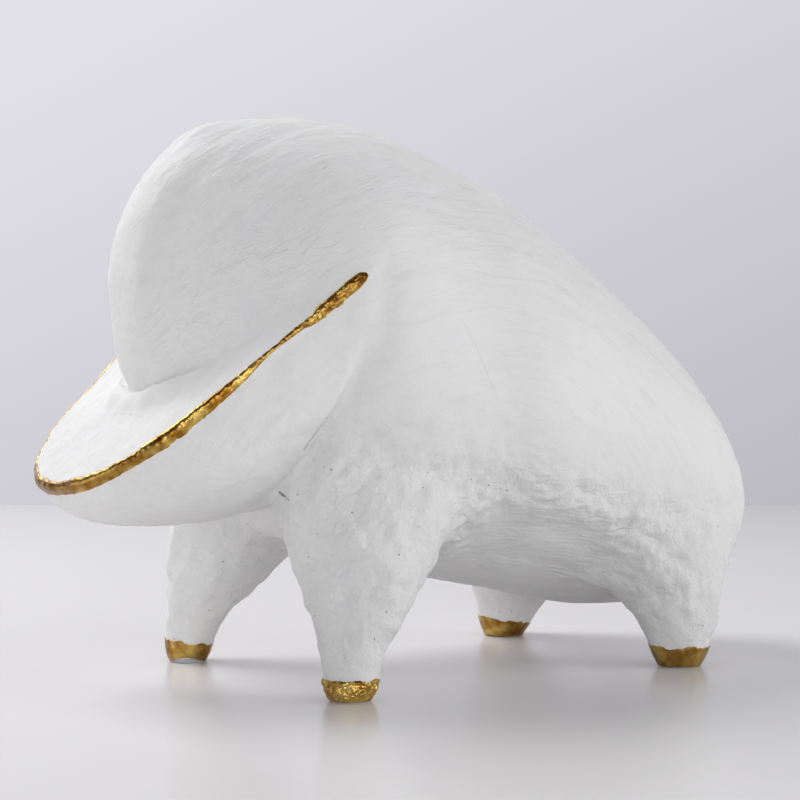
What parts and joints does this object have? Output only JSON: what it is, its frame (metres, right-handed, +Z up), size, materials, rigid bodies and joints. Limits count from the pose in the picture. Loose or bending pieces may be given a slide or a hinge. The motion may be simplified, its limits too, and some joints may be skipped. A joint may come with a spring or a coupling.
{
  "type": "pig figurine",
  "caption": "Matte white hand-modelled pig ornament with a humped back, a broad tilted dish snout and short legs; gold leaf on the dish rim and the feet.",
  "frame": {"origin": "middle of the object's box at floor level", "axes": "the animal faces -X, +Y is its right side, +Z is up"},
  "size_m": [0.2776, 0.1382, 0.1901],
  "materials": {
    "white_coat": "matte white brush-worked coat over stone-filled cast resin",
    "gold_leaf": "crumpled imitation gold leaf, semi-gloss",
    "pin_steel": "plain steel rod",
    "foot_pad": "pale foam pad"
  },
  "bodies": {
    "root": {"body_shell": "white_coat", "snout_dish": "white_coat", "front_left_leg": "white_coat", "front_right_leg": "white_coat", "rear_left_leg": "white_coat", "rear_right_leg": "white_coat", "pour_plug": "white_coat", "front_leg_pins": "pin_steel", "rear_leg_pins": "pin_steel", "rim_leaf": "gold_leaf", "front_left_foot_leaf": "gold_leaf", "front_right_foot_leaf": "gold_leaf", "rear_left_foot_leaf": "gold_leaf", "rear_right_foot_leaf": "gold_leaf", "front_left_foot_pad": "foot_pad", "front_right_foot_pad": "foot_pad", "rear_left_foot_pad": "foot_pad", "rear_right_foot_pad": "foot_pad"}
  },
  "joints": []
}
